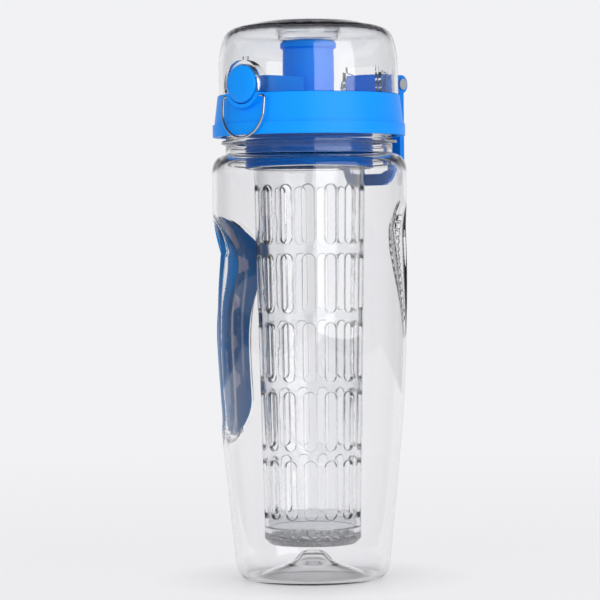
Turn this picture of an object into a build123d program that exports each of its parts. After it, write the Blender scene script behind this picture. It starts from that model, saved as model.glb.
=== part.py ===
from build123d import *
import os
from math import asin, atan2, cos, degrees, hypot, pi, radians, sin, sqrt

# Fruit infuser water bottle. Millimetres, +Z up. The origin is the centre of the base, on the
# plane that the bottle stands on. The lid's latch button faces -Y and its hinge is at +Y.

os.makedirs("parts", exist_ok=True)

# ---- clearances ----
RUN = 0.3  # between pieces that move past each other
SEAT = 0.1  # between pieces that are pressed or bonded together
FIT = 0.06  # round a pin or a stem, in radius

# ---- bottle: clear shell, outside radii at heights above the table ----
WALL = 2.0
CONTACT_R = 30.0  # outer edge of the ring that stands on the table
BASE_Z, BASE_R = 10.0, 35.8  # top of the base corner
LOW_Z, LOW_R = 36.0, 38.4
WAIST_Z, WAIST_R = 83.0, 42.7
BELLY_Z, BELLY_R = 120.0, 44.2
CHEST_Z, CHEST_R = 168.0, 44.6
SHOULDER_Z = 187.7  # start of the shoulder's curve
SHOULDER_TOP_Z = 195.0
NECK_R = 38.6
MOUTH_Z = 214.0
BEAD_Z, BEAD_OUT, BEAD_H = 200.3, 1.7, 1.6  # ring round the neck, just under the lid
BEAD_R = NECK_R + BEAD_OUT
PUNT_R, PUNT_Z = 26.5, 6.0  # pushed-up base, and the height of its flank
TIP_FOOT_R, TIP_TOP_R, TIP_TOP_Z = 8.5, 4.6, 11.2  # cone at the middle of the punt

# ---- grip pad recess and pad ----
GRIP_TURN = 209.5  # direction of the grip pad round the bottle, degrees from +X
GRIP_TOP, GRIP_BOTTOM = 167.0, 65.5
GRIP_WIDE_Z, GRIP_HALF_W = 150.0, 26.2  # its widest place, where the rounded top starts
GRIP_MID_Z, GRIP_MID_HALF_W = 116.0, 22.3
GRIP_LOW_Z, GRIP_LOW_HALF_W = 82.0, 20.9  # its narrower foot, where the rounded end starts
GRIP_FLOOR = [(45.6, 168.5), (41.4, 158.0), (37.4, 146.0), (38.8, 128.0), (39.1, 96.0), (38.0, 64.0)]
PAD_FACE = [(44.6, 169.0), (42.9, 157.0), (40.3, 145.0), (42.2, 128.0), (42.6, 98.0), (40.4, 64.0)]

# ---- thumb recess, opposite the pad ----
THUMB_TURN = GRIP_TURN - 180
THUMB_TOP, THUMB_WIDE_Z, THUMB_BOTTOM = 175.0, 158.0, 106.0
THUMB_HALF_W = 16.8
THUMB_FLOOR = [(46.0, 177.0), (41.2, 160.0), (42.6, 134.0), (45.4, 104.0)]
RIB_COUNT, RIB_PITCH, RIB_H, RIB_PROUD = 14, 3.5, 1.5, 0.9
RIB_TOP_Z = 165.0

# ---- infuser ----
SLOT_ROWS, SLOTS_ROUND = 5, 15
SLOT_W, SLOT_L, SLOT_PITCH = 5.4, 26.7, 31.3
SLOT_TOP_Z = 180.5
SLOT_TURN = -2.0  # direction of the first upright row of slots
INF_WALL = 1.6
INF_TOP_R, INF_LOW_R = 25.7, 22.3  # outside, at the flange and at the cap
FLANGE_Z, FLANGE_R, FLANGE_H = 188.6, 28.4, 1.8  # stop under the collar
CAP_LOW_Z, CAP_TOP_Z = 16.3, 29.9  # strainer cap, outside
CAP_FLOOR = 3.4
TUBE_LOW_Z = 24.0  # the basket's lower end
BASKET_TOP_Z = 204.0
CAP_R = INF_LOW_R
SPIGOT_R = INF_LOW_R - INF_WALL - SEAT
CAP_HOLE_R = 0.9
COLLAR_R, COLLAR_WALL, COLLAR_TOP_Z = 28.9, 2.4, 212.4
COLLAR_RIDGES, RIDGE_PITCH, RIDGE_PROUD, RIDGE_H = 3, 4.6, 0.7, 1.4

# ---- lid ----
SKIRT_LOW_Z, BAND_TOP_Z, RIM_Z = 203.0, 208.4, 221.6
THREAD_ROOM, SKIRT_WALL = 2.0, 2.8  # the room is for the neck's thread
SKIRT_R = NECK_R + THREAD_ROOM + SKIRT_WALL
BAND_PROUD, RIM_SET_IN, RIM_WALL = 0.8, 1.6, 3.6
BAND_R = SKIRT_R + BAND_PROUD
RIM_R = SKIRT_R - RIM_SET_IN
SOCKET_LOW_Z = 204.0
DECK_LOW_Z, DECK_TOP_Z = 215.7, 219.0
SOCKET_WALL = 1.8  # ring under the deck that takes the collar
SEAL_REACH, SEAL_H = 3.0, 1.6  # how far the seal ring reaches in from the neck's outside

# ---- spout ----
SPOUT_R, SPOUT_WALL, SPOUT_TOP_Z = 11.7, 1.6, 247.0
SPOUT_RIM_R, SPOUT_RIM_H = 12.9, 3.6
SPOUT_STEP_R = 12.4  # foot that sits on the deck
SPOUT_STEP_H = 3.0

# ---- dome cap ----
DOME_R = RIM_R - 0.5
NOTCH_SHARE = 0.72  # width of the notch for the button, over the dome radius
DOME_WALL, DOME_TOP_Z = 1.8, 255.9
DOME_SIDE_IN, DOME_SIDE_Z = 1.6, 245.5  # top of the nearly straight side
DOME_CORNER_IN, DOME_CORNER_Z = 4.6, 251.2  # middle of the rounded corner
DOME_CROWN_IN, DOME_CROWN_Z = 10.3, 253.5  # outer edge of the shallow crown
SEAL_BOSS_R, SEAL_BOSS_WALL, SEAL_BOSS_Z = 15.2, 1.2, 250.4
PLUG_R = 13.8
PLUG_TOP_Z = DOME_TOP_Z - DOME_WALL - 0.6
NIB_Y = DOME_R + 1.1

# ---- latch ----
LATCH_Z = 225.5
BUTTON_R, BUTTON_DEPTH, BUTTON_TRAVEL = 8.5, 4.6, 2.4
COWL_PROUD, BUTTON_PROUD = 3.0, 2.0
COWL_R, COWL_FACE = 10.8, RIM_R + COWL_PROUD  # clear arch and blue cup that ring the button
BUTTON_FACE = COWL_FACE + BUTTON_PROUD
COWL_BORE_R = BUTTON_R + 0.5  # opening round the button
HOUSE_W, HOUSE_TOP_Z = 18.0, 229.4  # housing bar between the button and the spout
HOUSE_OUT = RIM_R - RIM_WALL - 1.6
HOUSE_IN = SPOUT_STEP_R + RUN
STEM_R, STEM_IN = 2.4, HOUSE_OUT - 6.1  # stem that runs back from the button
LATCH_SPRING_R, LATCH_WIRE, LATCH_TURNS = 3.7, 0.6, 3.5

# ---- lock bail ----
BAIL_WIRE = 1.1
BAIL_Y, BAIL_Z = -COWL_FACE + 1.4, 220.2
BAIL_LEG_X = COWL_R + 1.6
BAIL_END_X = COWL_R - 3.0  # how near the middle its ends reach, in the sides of the cup
BAIL_DROP = 18.7
BAIL_LEAN = 6.0  # it hangs clear of the skirt's band

# ---- hinge ----
LOOP_THICK, LOOP_GAP = 3.0, 0.5  # the strap, and its gap from the bottle or the lid's band
HINGE_Y = max(CHEST_R, BAND_R) + LOOP_GAP + LOOP_THICK / 2
HINGE_Z = 228.0
PIN_R = 1.5
BLOCK_HALF_W, BLOCK_IN, KNUCKLE_R = 9.8, RIM_R - 3.4, 4.5
LUG_W = 2.8
HEAD_R, HEAD_W = 2.6, 0.9  # the pin's flat heads
POCKET_HALF_W = 4.3  # gap in the block for the coil
NOTCH_TOP_Z = 236.4
TORSION_R, TORSION_WIRE, TORSION_TURNS, TORSION_PITCH = 2.6, 0.7, 5, 1.15
TORSION_LEG = 4.6
LUG_ROOT_Y = DOME_R - 3.1  # within the dome's wall

# ---- carry loop ----
LOOP_EYE_W, LOOP_BAND_W = 3.6, 5.4
LOOP_DROP = 47.0
LOOP_EYE_R = 4.3


def export(builder, name):
    """Label a finished piece with its node's name and write its STEP file."""
    builder.part.label = name
    export_step(builder.part, f"parts/{name}.step")


def tangent_plane(turn):
    """Upright plane through the axis whose normal points out in the direction turn; its x is level."""
    out = Vector(cos(radians(turn)), sin(radians(turn)), 0)
    return Plane(origin=(0, 0, 0), x_dir=Vector(-out.Y, out.X, 0), z_dir=out)


# ---- bottle ----
def bottle_wall(inset):
    """The bottle's outline from the base corner to the mouth, moved in by inset."""
    with BuildSketch(Plane.XZ) as face:
        with BuildLine():
            side = Spline(
                (BASE_R - inset, BASE_Z),
                (LOW_R - inset, LOW_Z),
                (WAIST_R - inset, WAIST_Z),
                (BELLY_R - inset, BELLY_Z),
                (CHEST_R - inset, CHEST_Z),
                (CHEST_R - inset, SHOULDER_Z),
                tangents=[(0.09, 1), (0, 1)],
            )
            shoulder = EllipticalCenterArc(
                (NECK_R - inset, SHOULDER_Z),
                CHEST_R - NECK_R,
                SHOULDER_TOP_Z - SHOULDER_Z - inset,
                start_angle=0,
                arc_size=90,
            )
            neck_top = MOUTH_Z + inset
            Polyline(shoulder @ 1, (NECK_R - inset, neck_top), (0, neck_top), (0, inset))
            foot = Line((0, inset), (CONTACT_R - inset, inset))
            Spline(foot @ 1, side @ 0, tangents=[(1, 0), (0.09, 1)])
        make_face()
    return face.sketch


def ring_outside(points, reach):
    """Face between a floor curve through points and the radius reach."""
    with BuildSketch(Plane.XZ) as face:
        with BuildLine():
            floor = Spline(*points)
            Polyline(floor @ 1, (reach, points[-1][1]), (reach, points[0][1]), floor @ 0)
        make_face()
    return face.sketch


def shifted(points, distance):
    """The same curve, moved in towards the axis."""
    return [(r - distance, z) for r, z in points]


def grip_outline(grow):
    """The pad's outline on the tangent plane: half-ellipse ends and sides that narrow downward."""
    wide, narrow = GRIP_HALF_W + grow, GRIP_LOW_HALF_W + grow
    top_h, low_h = GRIP_TOP - GRIP_WIDE_Z + grow, GRIP_LOW_Z - GRIP_BOTTOM + grow
    with BuildSketch(tangent_plane(GRIP_TURN)) as face:
        with BuildLine():
            for side in (-1, 1):
                Spline(
                    (side * wide, GRIP_WIDE_Z),
                    (side * (GRIP_MID_HALF_W + grow), GRIP_MID_Z),
                    (side * narrow, GRIP_LOW_Z),
                    tangents=[(0, -1), (0, -1)],
                )
            EllipticalCenterArc((0, GRIP_WIDE_Z), wide, top_h, start_angle=0, arc_size=180)
            EllipticalCenterArc((0, GRIP_LOW_Z), narrow, low_h, start_angle=180, arc_size=180)
        make_face()
    return face.sketch


def thumb_outline(grow):
    """The thumb recess on the tangent plane: a drop, round at the top and pointed below."""
    with BuildSketch(tangent_plane(THUMB_TURN)) as face:
        with BuildLine():
            Spline(
                (0, THUMB_TOP + grow),
                (THUMB_HALF_W + grow, THUMB_WIDE_Z),
                (0, THUMB_BOTTOM - grow),
                tangents=[(1, 0), (-0.25, -1)],
            )
            Spline(
                (0, THUMB_BOTTOM - grow),
                (-THUMB_HALF_W - grow, THUMB_WIDE_Z),
                (0, THUMB_TOP + grow),
                tangents=[(-0.25, 1), (1, 0)],
            )
        make_face()
    return face.sketch


REACH = CHEST_R + 8  # well outside the bottle


def recess_tool(floor, outline):
    """What a recess takes away: everything outside the floor curve, within the outline."""
    with BuildPart() as tool:
        with BuildSketch(Plane.XZ):
            add(ring_outside(floor, REACH))
        revolve(axis=Axis.Z)
        extrude(outline, amount=REACH, mode=Mode.INTERSECT)
    return tool.part


grip_tool = recess_tool(GRIP_FLOOR, grip_outline(0))
grip_core = recess_tool(shifted(GRIP_FLOOR, WALL), grip_outline(WALL))
thumb_tool = recess_tool(THUMB_FLOOR, thumb_outline(0))
thumb_core = recess_tool(shifted(THUMB_FLOOR, WALL), thumb_outline(WALL))

# The water space: the bottle's own outline moved in by the wall, less the two recesses and the
# pushed-up base, which has a shallow flank and a blunt cone at its middle.
with BuildPart() as water:
    with BuildSketch(Plane.XZ):
        add(bottle_wall(WALL))
    revolve(axis=Axis.Z)
    add(grip_core, mode=Mode.SUBTRACT)
    add(thumb_core, mode=Mode.SUBTRACT)
    with BuildSketch(Plane.XZ):
        with BuildLine():
            Polyline(
                (0, 0),
                (PUNT_R + WALL, 0),
                (PUNT_R + WALL / 2, WALL),
                (TIP_FOOT_R + WALL, PUNT_Z + WALL),
                (TIP_TOP_R + WALL / 2, TIP_TOP_Z + WALL),
                (0, TIP_TOP_Z + WALL),
                close=True,
            )
        make_face()
    revolve(axis=Axis.Z, mode=Mode.SUBTRACT)

# Thumb ribs: level bars that follow the recess floor, within the drop and the bottle's outside.
with BuildPart() as ribs:
    with BuildSketch(Plane.XZ):
        add(ring_outside(shifted(THUMB_FLOOR, WALL / 2), REACH))
    revolve(axis=Axis.Z)
    with BuildSketch(Plane.XZ):
        add(ring_outside(shifted(THUMB_FLOOR, -RIB_PROUD), REACH + 1))
    revolve(axis=Axis.Z, mode=Mode.SUBTRACT)
    with BuildSketch(Plane.XZ):
        with Locations(*[(0, RIB_TOP_Z - row * RIB_PITCH) for row in range(RIB_COUNT)]):
            Rectangle(CHEST_R, RIB_H, align=(Align.MIN, Align.CENTER))
    revolve(axis=Axis.Z, mode=Mode.INTERSECT)
    extrude(thumb_outline(-1.6), amount=REACH, mode=Mode.INTERSECT)

with BuildPart() as bottle:
    with BuildSketch(Plane.XZ):
        add(bottle_wall(0))
    revolve(axis=Axis.Z)
    with BuildSketch(Plane.XZ):
        with Locations((NECK_R - WALL / 2, BEAD_Z)):
            Rectangle(2 * (BEAD_R - NECK_R) + WALL, BEAD_H)
    revolve(axis=Axis.Z)
    add(grip_tool, mode=Mode.SUBTRACT)
    add(thumb_tool, mode=Mode.SUBTRACT)
    add(ribs.part)
    add(water.part, mode=Mode.SUBTRACT)
    with BuildSketch(Plane.XZ):
        with BuildLine():
            Polyline(
                (0, 0),
                (PUNT_R, 0),
                (TIP_FOOT_R, PUNT_Z),
                (TIP_TOP_R, TIP_TOP_Z),
                (0, TIP_TOP_Z),
                close=True,
            )
        make_face()
    revolve(axis=Axis.Z, mode=Mode.SUBTRACT)
export(bottle, "bottle_body")

# ---- grip pad: soft insert bonded into its recess ----
with BuildPart() as pad:
    with BuildSketch(Plane.XZ):
        add(ring_outside(shifted(GRIP_FLOOR, -SEAT), REACH))
    revolve(axis=Axis.Z)
    with BuildSketch(Plane.XZ):
        with BuildLine():
            face = Spline(*PAD_FACE)
            Polyline(face @ 1, (0, PAD_FACE[-1][1]), (0, PAD_FACE[0][1]), face @ 0)
        make_face()
    revolve(axis=Axis.Z, mode=Mode.INTERSECT)
    extrude(grip_outline(-RUN), amount=REACH, mode=Mode.INTERSECT)
export(pad, "grip_pad")

# ---- infuser basket: tapered strainer tube with a stop flange and a neck for the collar ----
NECK_IN_R = COLLAR_R - COLLAR_WALL - SEAT  # outside of the basket's neck
with BuildPart() as basket:
    with BuildSketch(Plane.XZ):
        section = [
            (INF_LOW_R, TUBE_LOW_Z),
            (INF_TOP_R, FLANGE_Z),
            (FLANGE_R, FLANGE_Z),
            (FLANGE_R, FLANGE_Z + FLANGE_H),
            (NECK_IN_R, FLANGE_Z + FLANGE_H),
            (NECK_IN_R, BASKET_TOP_Z),
            (NECK_IN_R - INF_WALL, BASKET_TOP_Z),
            (INF_TOP_R - INF_WALL, FLANGE_Z),
            (INF_LOW_R - INF_WALL, TUBE_LOW_Z),
        ]
        with BuildLine():
            Polyline(*section, close=True)
        make_face()
    revolve(axis=Axis.Z)
    slot_turns = [SLOT_TURN + i * 360 / SLOTS_ROUND for i in range(SLOTS_ROUND)]
    slot_planes = [tangent_plane(turn).offset(15) for turn in slot_turns]
    slot_spots = [(0, SLOT_TOP_Z - SLOT_L / 2 - i * SLOT_PITCH) for i in range(SLOT_ROWS)]
    with BuildSketch(*slot_planes):
        with Locations(*slot_spots):
            SlotOverall(SLOT_L, SLOT_W, rotation=90)
    extrude(amount=15, mode=Mode.SUBTRACT)
export(basket, "infuser_basket")

# ---- infuser base: strainer cap pushed into the tube's lower end ----
with BuildPart() as cap:
    with BuildSketch(Plane.XZ):
        with BuildLine():
            Polyline(
                (0, CAP_LOW_Z),
                (CAP_R - 2.5, CAP_LOW_Z),
                (CAP_R, CAP_LOW_Z + 2.5),
                (CAP_R, TUBE_LOW_Z),
                (SPIGOT_R, TUBE_LOW_Z),
                (SPIGOT_R, CAP_TOP_Z),
                (SPIGOT_R - 1.4, CAP_TOP_Z),
                (SPIGOT_R - 1.4, CAP_LOW_Z + CAP_FLOOR),
                (0, CAP_LOW_Z + CAP_FLOOR),
                close=True,
            )
        make_face()
    revolve(axis=Axis.Z)
    with BuildSketch(Plane.XY.offset(CAP_LOW_Z)):
        Circle(CAP_HOLE_R)
        for ring in (1, 2, 3):
            with PolarLocations(5.0 * ring, 6 * ring):
                Circle(CAP_HOLE_R)
    extrude(amount=CAP_FLOOR, mode=Mode.SUBTRACT)
export(cap, "infuser_base")

# ---- infuser collar: blue ring that joins the basket to the lid ----
with BuildPart() as collar:
    with BuildSketch(Plane.XZ):
        collar_low = FLANGE_Z + FLANGE_H
        with Locations((COLLAR_R - COLLAR_WALL, collar_low)):
            Rectangle(COLLAR_WALL, COLLAR_TOP_Z - collar_low, align=(Align.MIN, Align.MIN))
        for ridge in range(COLLAR_RIDGES):
            low = collar_low + ridge * RIDGE_PITCH
            with Locations((COLLAR_R - COLLAR_WALL / 2, low)):
                Rectangle(COLLAR_WALL / 2 + RIDGE_PROUD, RIDGE_H, align=(Align.MIN, Align.MIN))
    revolve(axis=Axis.Z)
export(collar, "infuser_collar")

# ---- lid seal: soft flat ring between the deck and the bottle's mouth ----
with BuildPart() as seal:
    with BuildSketch(Plane.XY.offset(MOUTH_Z + SEAT / 2)):
        Circle(SKIRT_R - SKIRT_WALL - RUN)
        Circle(NECK_R - SEAL_REACH, mode=Mode.SUBTRACT)
    extrude(amount=SEAL_H)
export(seal, "lid_seal")

# ---- lid base ----
def front_disc(radius, y_near, y_far):
    """Cylinder about the latch's axis between two distances in front of the lid's centre."""
    with BuildPart() as piece:
        with BuildSketch(Plane.XZ.offset(y_near)):
            with Locations((0, LATCH_Z)):
                Circle(radius)
        extrude(amount=y_far - y_near)
    return piece.part


def side_profile(points, knuckle_r, half_w):
    """Hinge shape seen from the side, widened to both sides of the middle plane."""
    with BuildPart() as piece:
        with BuildSketch(Plane.YZ):
            with BuildLine():
                Polyline(*points, close=True)
            make_face()
            with Locations((HINGE_Y, HINGE_Z)):
                Circle(knuckle_r)
        extrude(amount=half_w, both=True)
    return piece.part


with BuildPart() as lid:
    with BuildSketch(Plane.XZ):
        with BuildLine():
            Polyline(
                (SKIRT_R - SKIRT_WALL, SKIRT_LOW_Z),
                (BAND_R, SKIRT_LOW_Z),
                (BAND_R, BAND_TOP_Z),
                (SKIRT_R, BAND_TOP_Z),
                (RIM_R, RIM_Z),
                (RIM_R - RIM_WALL, RIM_Z),
                (RIM_R - RIM_WALL, DECK_TOP_Z),
                (SPOUT_R + SEAT, DECK_TOP_Z),
                (SPOUT_R + SEAT, DECK_LOW_Z),
                (COLLAR_R + FIT, DECK_LOW_Z),
                (COLLAR_R + FIT, SOCKET_LOW_Z),
                (COLLAR_R + FIT + SOCKET_WALL, SOCKET_LOW_Z),
                (COLLAR_R + FIT + SOCKET_WALL, DECK_LOW_Z),
                (SKIRT_R - SKIRT_WALL, DECK_LOW_Z),
                close=True,
            )
        make_face()
    revolve(axis=Axis.Z)
    with BuildSketch(Plane.XZ.offset(RIM_R - RIM_WALL)):
        with Locations((0, LATCH_Z)):
            Circle(COWL_R)
        with Locations((0, RIM_Z)):
            Rectangle(4 * COWL_R, 4 * COWL_R, align=(Align.CENTER, Align.MIN), mode=Mode.SUBTRACT)
    extrude(amount=COWL_PROUD + RIM_WALL)
    with BuildSketch(Plane.XY.offset(DECK_TOP_Z)):
        with Locations((0, -HOUSE_IN)):
            Rectangle(HOUSE_W, HOUSE_OUT - HOUSE_IN, align=(Align.CENTER, Align.MAX))
    extrude(amount=HOUSE_TOP_Z - DECK_TOP_Z)
    add(front_disc(COWL_BORE_R, HOUSE_OUT, COWL_FACE + 1), mode=Mode.SUBTRACT)
    add(front_disc(STEM_R + FIT, STEM_IN - BUTTON_TRAVEL - 0.6, HOUSE_OUT + 1), mode=Mode.SUBTRACT)
    with BuildSketch(Plane.YZ):
        with Locations((BAIL_Y, BAIL_Z)):
            Circle(BAIL_WIRE / 2 + FIT)
    extrude(amount=COWL_R, both=True, mode=Mode.SUBTRACT)
    block = [
        (BLOCK_IN, DECK_TOP_Z - 1),
        (BLOCK_IN, HINGE_Z + KNUCKLE_R),
        (HINGE_Y, HINGE_Z + KNUCKLE_R),
        (HINGE_Y + KNUCKLE_R, HINGE_Z),
        (HINGE_Y + 1.5, HINGE_Z - KNUCKLE_R + 0.3),
        (SKIRT_R - 1.4, BAND_TOP_Z + 3),
    ]
    add(side_profile(block, KNUCKLE_R, BLOCK_HALF_W))
    with BuildSketch(Plane.XY.offset(SKIRT_LOW_Z)):
        Circle(SKIRT_R - SKIRT_WALL)
        Circle(COLLAR_R + FIT + SOCKET_WALL, mode=Mode.SUBTRACT)
    extrude(amount=DECK_LOW_Z - SKIRT_LOW_Z, mode=Mode.SUBTRACT)
    with BuildSketch(Plane.YZ):
        with Locations((HINGE_Y, HINGE_Z)):
            Circle(PIN_R + FIT)
    extrude(amount=2 * BLOCK_HALF_W, both=True, mode=Mode.SUBTRACT)
    with BuildSketch(Plane.XY.offset(HINGE_Z - KNUCKLE_R - 1)):
        with Locations((0, HINGE_Y - 5.2)):
            Rectangle(2 * POCKET_HALF_W, 14, align=(Align.CENTER, Align.MIN))
    extrude(amount=3 * KNUCKLE_R, mode=Mode.SUBTRACT)
export(lid, "lid_base")

# ---- spout: short drinking tube with a rolled lip, seated in the deck ----
with BuildPart() as spout:
    with BuildSketch(Plane.XZ):
        with BuildLine():
            lip_low = SPOUT_TOP_Z - SPOUT_RIM_H
            Polyline(
                (SPOUT_R - SPOUT_WALL, DECK_LOW_Z - 2),
                (SPOUT_R, DECK_LOW_Z - 2),
                (SPOUT_R, DECK_TOP_Z),
                (SPOUT_STEP_R, DECK_TOP_Z),
                (SPOUT_STEP_R, DECK_TOP_Z + SPOUT_STEP_H - 1),
                (SPOUT_STEP_R - 1, DECK_TOP_Z + SPOUT_STEP_H),
                (SPOUT_R, DECK_TOP_Z + SPOUT_STEP_H),
                (SPOUT_R, lip_low - 0.6),
                (SPOUT_RIM_R, lip_low + 0.4),
                (SPOUT_RIM_R, SPOUT_TOP_Z - 1),
                (SPOUT_RIM_R - 1, SPOUT_TOP_Z),
                (SPOUT_R - SPOUT_WALL + 0.6, SPOUT_TOP_Z),
                (SPOUT_R - SPOUT_WALL, SPOUT_TOP_Z - 0.6),
                close=True,
            )
        make_face()
    revolve(axis=Axis.Z)
export(spout, "spout")

# ---- dome cap: clear flip-up cover ----
DOME_LOW_Z = RIM_Z + RUN


def dome_outline(inset):
    """Half section of the dome from its lower edge to the crown, moved in by inset."""
    with BuildSketch(Plane.XZ) as face:
        with BuildLine():
            corner_in = inset / sqrt(2)
            crown = Spline(
                (DOME_R - inset, DOME_LOW_Z),
                (DOME_R - DOME_SIDE_IN - inset, DOME_SIDE_Z),
                (DOME_R - DOME_CORNER_IN - corner_in, DOME_CORNER_Z - corner_in),
                (DOME_R - DOME_CROWN_IN, DOME_CROWN_Z - inset),
                (0, DOME_TOP_Z - inset),
                tangents=[(-DOME_SIDE_IN / 2, DOME_SIDE_Z - DOME_LOW_Z), (-1, 0)],
            )
            Polyline(crown @ 1, (0, DOME_LOW_Z), crown @ 0)
        make_face()
    return face.sketch


with BuildPart() as dome:
    with BuildSketch(Plane.XZ):
        add(dome_outline(0))
    revolve(axis=Axis.Z)
    with BuildSketch(Plane.XZ.offset(DOME_R - 4)):
        with Locations((0, LATCH_Z)):
            Circle(COWL_R)
        with Locations((0, DOME_LOW_Z)):
            Rectangle(4 * COWL_R, 4 * COWL_R, align=(Align.CENTER, Align.MAX), mode=Mode.SUBTRACT)
    extrude(amount=COWL_FACE - DOME_R + 4)
    with BuildSketch(Plane.XZ):
        add(dome_outline(DOME_WALL))
    revolve(axis=Axis.Z, mode=Mode.SUBTRACT)
    with BuildSketch(Plane.XZ.offset(DOME_R - 10)):
        with Locations((0, LATCH_Z)):
            Circle(COWL_BORE_R)
            Rectangle(2 * COWL_BORE_R, 2 * COWL_BORE_R, align=(Align.CENTER, Align.MAX))
    extrude(amount=20, mode=Mode.SUBTRACT)
    with BuildSketch(Plane.XY.offset(DOME_LOW_Z - 1)):
        with Locations((0, HINGE_Y)):
            Rectangle(2 * (BLOCK_HALF_W + RUN), NOTCH_SHARE * DOME_R)
    extrude(amount=NOTCH_TOP_Z - DOME_LOW_Z + 1, mode=Mode.SUBTRACT)
    with BuildSketch(Plane.XY.offset(SEAL_BOSS_Z)):
        Circle(SEAL_BOSS_R)
        Circle(SEAL_BOSS_R - SEAL_BOSS_WALL, mode=Mode.SUBTRACT)
    extrude(amount=DOME_TOP_Z - DOME_WALL / 2 - SEAL_BOSS_Z)
    lug = [
        (HINGE_Y, HINGE_Z - KNUCKLE_R),
        (HINGE_Y, HINGE_Z + KNUCKLE_R),
        (LUG_ROOT_Y, HINGE_Z + KNUCKLE_R + 2),
        (LUG_ROOT_Y, DOME_LOW_Z + 0.8),
    ]
    lug_in = BLOCK_HALF_W + RUN
    with BuildSketch(Plane.YZ.offset(lug_in), Plane.YZ.offset(-lug_in - LUG_W)):
        with BuildLine():
            Polyline(*lug, close=True)
        make_face()
        with Locations((HINGE_Y, HINGE_Z)):
            Circle(KNUCKLE_R)
            Circle(PIN_R + FIT, mode=Mode.SUBTRACT)
    extrude(amount=LUG_W)
    with BuildSketch(Plane.XZ.offset(NIB_Y)):
        with Locations((0, LATCH_Z + COWL_R - 0.5)):
            Rectangle(3.0, 2.2, align=(Align.CENTER, Align.MIN))
    extrude(amount=-1.2)
export(dome, "dome_cap")

# ---- spout seal: soft plug inside the dome that closes the spout ----
with BuildPart() as plug:
    with BuildSketch(Plane.XZ):
        with BuildLine():
            Polyline(
                (0, SPOUT_TOP_Z + RUN),
                (PLUG_R - 0.8, SPOUT_TOP_Z + RUN),
                (PLUG_R, SPOUT_TOP_Z + RUN + 0.8),
                (PLUG_R, PLUG_TOP_Z - 0.6),
                (PLUG_R - 0.6, PLUG_TOP_Z),
                (0, PLUG_TOP_Z),
                close=True,
            )
        make_face()
    revolve(axis=Axis.Z)
export(plug, "spout_seal")

# ---- latch button ----
with BuildPart() as button:
    back = -BUTTON_FACE + BUTTON_DEPTH
    with BuildSketch(Plane.YZ):
        with BuildLine():
            Polyline(
                (-BUTTON_FACE, LATCH_Z),
                (-STEM_IN, LATCH_Z),
                (-STEM_IN, LATCH_Z + STEM_R),
                (back, LATCH_Z + STEM_R),
                (back, LATCH_Z + BUTTON_R),
                (-BUTTON_FACE + 1.8, LATCH_Z + BUTTON_R),
            )
            Spline(
                (-BUTTON_FACE + 1.8, LATCH_Z + BUTTON_R),
                (-BUTTON_FACE + 0.7, LATCH_Z + BUTTON_R - 1.1),
                (-BUTTON_FACE, LATCH_Z),
                tangents=[(-1, 0), (0, -1)],
            )
        make_face()
    revolve(axis=Axis((0, 0, LATCH_Z), (0, 1, 0)))
export(button, "latch_button")

# ---- button spring: coil between the housing and the back of the button ----
with BuildPart() as push_spring:
    coil_len = BUTTON_FACE - BUTTON_DEPTH - HOUSE_OUT - LATCH_WIRE - SEAT
    coil_start = (0, -HOUSE_OUT - LATCH_WIRE / 2 - SEAT / 2, LATCH_Z)
    with BuildLine() as coil:
        Helix(
            pitch=coil_len / LATCH_TURNS,
            height=coil_len,
            radius=LATCH_SPRING_R,
            center=coil_start,
            direction=(0, -1, 0),
        )
    with BuildSketch(coil.line ^ 0):
        Circle(LATCH_WIRE / 2)
    sweep(path=coil.line, is_frenet=True)
export(push_spring, "button_spring")
print("button spring: gap between turns", round(coil_len / LATCH_TURNS - LATCH_WIRE, 3))

# ---- hinge pin ----
with BuildPart() as pin:
    head_in = BLOCK_HALF_W + 2 * RUN + LUG_W + LOOP_EYE_W + RUN
    with BuildSketch(Plane.YZ.offset(-head_in)):
        with Locations((HINGE_Y, HINGE_Z)):
            Circle(PIN_R)
    extrude(amount=2 * head_in)
    with BuildSketch(Plane.YZ.offset(head_in), Plane.YZ.offset(-head_in - HEAD_W)):
        with Locations((HINGE_Y, HINGE_Z)):
            Circle(HEAD_R)
    extrude(amount=HEAD_W)
export(pin, "hinge_pin")

# ---- hinge spring: coil round the pin with two straight legs ----
with BuildPart() as twist_spring:
    twist_len = (TORSION_TURNS + 0.5) * TORSION_PITCH
    with BuildLine() as twist:
        turns = Helix(
            pitch=TORSION_PITCH,
            height=twist_len,
            radius=TORSION_R,
            center=(-twist_len / 2, HINGE_Y, HINGE_Z),
            direction=(1, 0, 0),
        )
        Line(turns @ 1, turns @ 1 + (turns % 1) * TORSION_LEG)
        Line(turns @ 0 - (turns % 0) * TORSION_LEG, turns @ 0)
    with BuildSketch(twist.line ^ 0):
        Circle(TORSION_WIRE / 2)
    sweep(path=twist.line, is_frenet=True)
export(twist_spring, "hinge_spring")
print("hinge spring: gap between turns", round(TORSION_PITCH - TORSION_WIRE, 3))

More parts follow.
